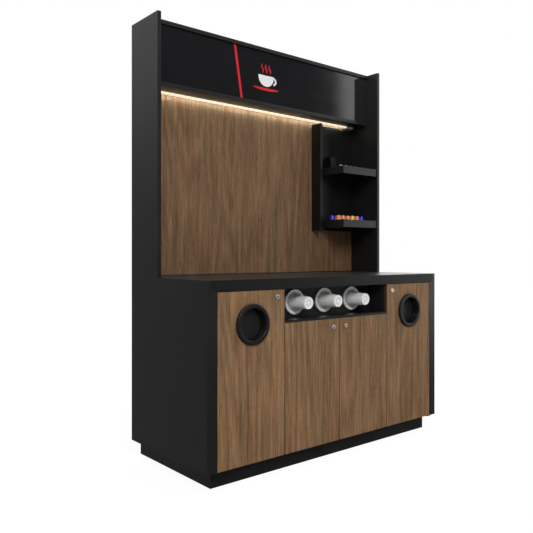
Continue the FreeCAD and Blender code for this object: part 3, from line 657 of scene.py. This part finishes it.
def handle_outline():
    outer, inner = ([(HANDLE_X + radius * math.cos(math.radians(degrees)),
                      HANDLE_Z + radius * HANDLE_FLATNESS * math.sin(math.radians(degrees)))
                     for degrees in evenly(-HANDLE_SPAN, HANDLE_SPAN, HANDLE_STEPS + 1)]
                    for radius in HANDLE_RADII)
    return outer + inner[::-1]


def saucer_outline():
    return [(SAUCER_HALF_WIDTH * math.cos(angle), SAUCER_Z - SAUCER_DEPTH * math.sin(angle))
            for angle in evenly(0.0, math.pi, SAUCER_STEPS + 1)]


def steam_outline(place):
    path = [(place + STEAM_SWAY * math.sin(2 * math.pi * rise), STEAM_BOTTOM + STEAM_HEIGHT * rise)
            for rise in evenly(0.0, 1.0, STEAM_STEPS + 1)]
    return ribbon(path, STEAM_WIDTH)


def make_sign_graphics():
    low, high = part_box("sign_panel")
    work = bmesh.new()
    film(work, [(STRIPE_BOTTOM, low.z), (STRIPE_BOTTOM + STRIPE_WIDTH, low.z),
                (STRIPE_TOP + STRIPE_WIDTH, high.z), (STRIPE_TOP, high.z)], low.y)
    piece("sign_stripe", finished_mesh("sign_stripe", work), "cabinet", "gloss_black", stripe_red)

    white_slot, red_slot = 0, 1
    parts = [(bowl_outline(), white_slot), (handle_outline(), white_slot),
             (saucer_outline(), red_slot)]
    parts += [(steam_outline(place), red_slot) for place in STEAM_PLACES]
    middle_z = (low.z + high.z) / 2
    work = bmesh.new()
    for outline, slot in parts:
        film(work, [(EMBLEM_X + x, middle_z + z) for x, z in outline], low.y, slot)
    piece("sign_emblem", finished_mesh("sign_emblem", work), "cabinet", "gloss_black",
          emblem_white, emblem_red)


# Small fittings: end caps of the lamp, the right one longer, a black bead in the counter's joint,
# screw cover caps
LEFT_END_CAP, RIGHT_END_CAP = 0.006, 0.06
END_CAP_WALL, END_CAP_ROUNDING = 0.0008, 0.0006
SEAL_SIZE, SEAL_STEPS = 0.005, 6
SCREW_CAP_RADIUS, SCREW_CAP_CROWN, SCREW_CAP_SUNK = 0.0065, 0.00025, 0.0005
SCREW_CAP_SEGMENTS = 32
SCREW_INSET = 0.012
SCREWS_ACROSS, SCREWS_UPWARDS = 7, 5


def make_lamp_ends():
    """End caps over the diffuser's ends."""
    low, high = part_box("lamp_diffuser")
    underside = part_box("header_lower_board")[0].z
    work = bmesh.new()
    for start_x, end_x in ((low.x, low.x + LEFT_END_CAP), (high.x - RIGHT_END_CAP, high.x)):
        made = bmesh.ops.create_cube(work, size=1.0)
        for corner in made["verts"]:
            corner.co = Vector((end_x if corner.co.x > 0 else start_x,
                                high.y + END_CAP_WALL if corner.co.y > 0 else low.y - END_CAP_WALL,
                                underside if corner.co.z > 0 else low.z - END_CAP_WALL))
    bmesh.ops.bevel(work, geom=work.edges[:], offset=END_CAP_ROUNDING, segments=3, affect="EDGES")
    piece("lamp_end_caps", finished_mesh("lamp_end_caps", work), "cabinet", "aluminium",
          end_cap_grey)


def make_counter_joint_bead():
    """A black bead along the corner between the counter and the wooden panel, darkening the joint.
    """
    low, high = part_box("wood_back_panel")
    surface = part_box("counter_top")[1].z
    section = [(0.0, 0.0)] + arc_points((-SEAL_SIZE, SEAL_SIZE), SEAL_SIZE, -90, 0, SEAL_STEPS)
    work = bmesh.new()
    ends = [[work.verts.new((x, low.y + y, surface + z)) for y, z in section]
            for x in (low.x, high.x)]
    for index in range(len(section)):
        following = (index + 1) % len(section)
        work.faces.new((ends[0][index], ends[0][following], ends[1][following], ends[1][index]))
    for end in ends:
        work.faces.new(end)
    piece("counter_joint_bead", finished_mesh("counter_joint_bead", work), "cabinet", "black_plastic",
          moulded_black)


def make_rear_caps():
    """Thin cover caps over the screws along the edges of the two rear panels."""
    radius, crown = SCREW_CAP_RADIUS, SCREW_CAP_CROWN
    profile = [(0.0, -SCREW_CAP_SUNK), (radius, -SCREW_CAP_SUNK), (radius, crown * 0.3),
               (radius - 0.0004, crown * 0.8), (radius - 0.0012, crown), (0.0, crown)]
    work = bmesh.new()
    for node in ("base_back_panel", "upper_rear_panel"):
        low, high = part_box(node)
        across = evenly(low.x + SCREW_INSET, high.x - SCREW_INSET, SCREWS_ACROSS)
        upwards = evenly(low.z + SCREW_INSET, high.z - SCREW_INSET, SCREWS_UPWARDS)
        places = [(x, z) for x in across for z in (upwards[0], upwards[-1])]
        places += [(x, z) for x in (across[0], across[-1]) for z in upwards[1:-1]]
        for x, z in places:
            turn(work, profile, (x, high.y, z), "Y", SCREW_CAP_SEGMENTS)
    piece("rear_cover_caps", finished_mesh("rear_cover_caps", work), "cabinet", "black_plastic",
          cap_grey)


make_front_cups()
make_capsules()
make_sign_graphics()
make_lamp_ends()
make_counter_joint_bead()
make_rear_caps()

# Stage: a white floor that takes the station's shadow near it and is plain white far away
FLOOR_RADIUS, FLOOR_SEGMENTS, FLOOR_DROP = 14.0, 96, 0.0005
FLOOR_COLOUR, FLOOR_WHITE = (0.85, 0.85, 0.85), 1.04
PLAIN_DISTANCES = (2.0, 5.0)
PLAIN_SHARES = (0.9, 1.0)

# Levels of the surroundings in diffuse light and in reflections
AMBIENT = 0.33
REFLECTED_DARK = 0.08
REFLECTED_BEHIND = 0.14
REFLECTED_RIGHT = 2.4

# Name, place, target, size and power of the soft lights
SOFTBOXES = (
    ("softbox_right", (5.90, -2.72, 2.4), (0.0, 0.0, 1.4), (3.2, 5.0), 110.0),
    ("softbox_front", (-3.0, -4.7, 4.3), (0.0, 0.0, 1.1), (2.6, 2.0), 250.0),
    ("softbox_top", (0.0, -0.8, 4.6), (0.0, 0.0, 1.0), (4.0, 3.0), 60.0),
    ("softbox_rear", (1.5, 5.0, 3.0), (0.0, 0.3, 1.1), (3.0, 3.0), 120.0),
)
# What the lamp throws on the wall, from a strip along the rear of its diffuser
WASH_POWER = 1.25
WASH_COLOUR = (0.93, 1.0, 0.96)
WASH_STRIP = 0.004
WASH_BEHIND, WASH_ABOVE = 0.001, 0.005
WASH_AIM = Vector((0.0, 0.1, -0.1))


def seen_rays(tree, *names):
    """One for the named kinds of ray, zero for others."""
    rays = add(tree, "ShaderNodeLightPath").outputs
    seen = rays[names[0]]
    for name in names[1:]:
        seen = math_node(tree, "MAXIMUM", seen, rays[name])
    return seen


def rising(tree, value, low, high):
    """A smooth step of a value from zero to one."""
    return map_range(tree, value, (0.0, 1.0), (low, high), interpolation_type="SMOOTHSTEP")


def make_floor():
    work = bmesh.new()
    bmesh.ops.create_circle(work, cap_ends=True, radius=FLOOR_RADIUS,
                            segments=FLOOR_SEGMENTS)
    mesh = bpy.data.meshes.new("floor")
    work.to_mesh(mesh)
    work.free()
    floor = bpy.data.objects.new("floor", mesh)
    floor.location.z = -FLOOR_DROP
    floor.visible_glossy = False
    scene.collection.objects.link(floor)
    material = bpy.data.materials.new("floor_white")
    material.use_nodes = True
    tree = material.node_tree
    tree.nodes.clear()
    lit = add(tree, "ShaderNodeBsdfDiffuse", {"Color": opaque(FLOOR_COLOUR)})
    white = add(tree, "ShaderNodeEmission", {"Color": opaque(WHITE), "Strength": FLOOR_WHITE})
    away = add(tree, "ShaderNodeVectorMath", {0: point(tree)}, operation="LENGTH").outputs["Value"]
    plain = map_range(tree, away, PLAIN_SHARES, PLAIN_DISTANCES)
    seen = seen_rays(tree, "Is Camera Ray", "Is Transmission Ray")
    share = math_node(tree, "MULTIPLY", seen, plain)
    both = add(tree, "ShaderNodeMixShader", {0: share, 1: lit.outputs[0], 2: white.outputs[0]})
    output = add(tree, "ShaderNodeOutputMaterial")
    tree.links.new(both.outputs[0], output.inputs["Surface"])
    mesh.materials.append(material)


def make_world():
    """White for the camera, soft light for surfaces, and pale behind and above in reflections."""
    world = bpy.data.worlds.new("studio")
    scene.world = world
    world.use_nodes = True
    tree = world.node_tree
    tree.nodes.clear()

    def both(first, second):
        return math_node(tree, "MULTIPLY", first, second)

    def background(strength):
        inputs = {"Color": opaque(WHITE), "Strength": strength}
        return add(tree, "ShaderNodeBackground", inputs).outputs[0]

    def choose(seen, otherwise, shader):
        return add(tree, "ShaderNodeMixShader", {0: seen, 1: otherwise, 2: shader}).outputs[0]

    direction = add(tree, "ShaderNodeTexCoord").outputs["Generated"]
    x, y, z = add(tree, "ShaderNodeSeparateXYZ", {0: direction}).outputs
    behind_right = both(rising(tree, x, 0.0, 0.6), rising(tree, y, -0.15, 0.3))
    behind_above = both(rising(tree, z, 0.02, 0.42), rising(tree, y, -0.3, 0.3))
    behind = both(rising(tree, y, 0.2, 0.7), REFLECTED_BEHIND)
    horizon = both(rising(tree, z, -0.08, 0.0), rising(tree, z, 0.5, 0.2))
    bright_right = both(behind_right, map_range(tree, horizon, (1.0, REFLECTED_RIGHT)))
    pale = math_node(tree, "MAXIMUM", bright_right, behind_above)
    pale = math_node(tree, "MAXIMUM", pale, behind)
    reflected = background(map_range(tree, pale, (REFLECTED_DARK, 1.0), clamp=False))
    lighting = choose(seen_rays(tree, "Is Glossy Ray"), background(AMBIENT), reflected)
    surroundings = choose(seen_rays(tree, "Is Camera Ray", "Is Transmission Ray"), lighting,
                          background(1.0))
    output = add(tree, "ShaderNodeOutputWorld")
    tree.links.new(surroundings, output.inputs["Surface"])


def area_light(name, place, target, size, power, colour=WHITE):
    light = bpy.data.lights.new(name, "AREA")
    light.shape = "RECTANGLE"
    light.size, light.size_y = size
    light.energy = power
    light.color = colour
    made = bpy.data.objects.new(name, light)
    made.location = place
    made.rotation_euler = (Vector(target) - Vector(place)).to_track_quat("-Z", "Y").to_euler()
    made.visible_camera = False
    scene.collection.objects.link(made)


def make_lights():
    for softbox in SOFTBOXES:
        area_light(*softbox)
    low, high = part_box("lamp_diffuser")
    left, right = low.x + LEFT_END_CAP, high.x - RIGHT_END_CAP
    middle = Vector(((left + right) / 2, high.y + WASH_BEHIND, low.z + WASH_ABOVE))
    area_light("lamp_wash", middle, middle + WASH_AIM, (right - left, WASH_STRIP), WASH_POWER,
               WASH_COLOUR)


def make_camera():
    data = bpy.data.cameras.new("camera")
    data.lens = CAMERA_LENS
    data.sensor_width = CAMERA_SENSOR
    data.shift_y = CAMERA_SHIFT
    made = bpy.data.objects.new("camera", data)
    made.location = CAMERA_PLACE
    made.rotation_euler = (math.radians(90), 0.0, -CAMERA_YAW)
    scene.collection.objects.link(made)
    scene.camera = made


make_floor()
make_world()
make_lights()
make_camera()
scene.view_settings.view_transform = "Standard"
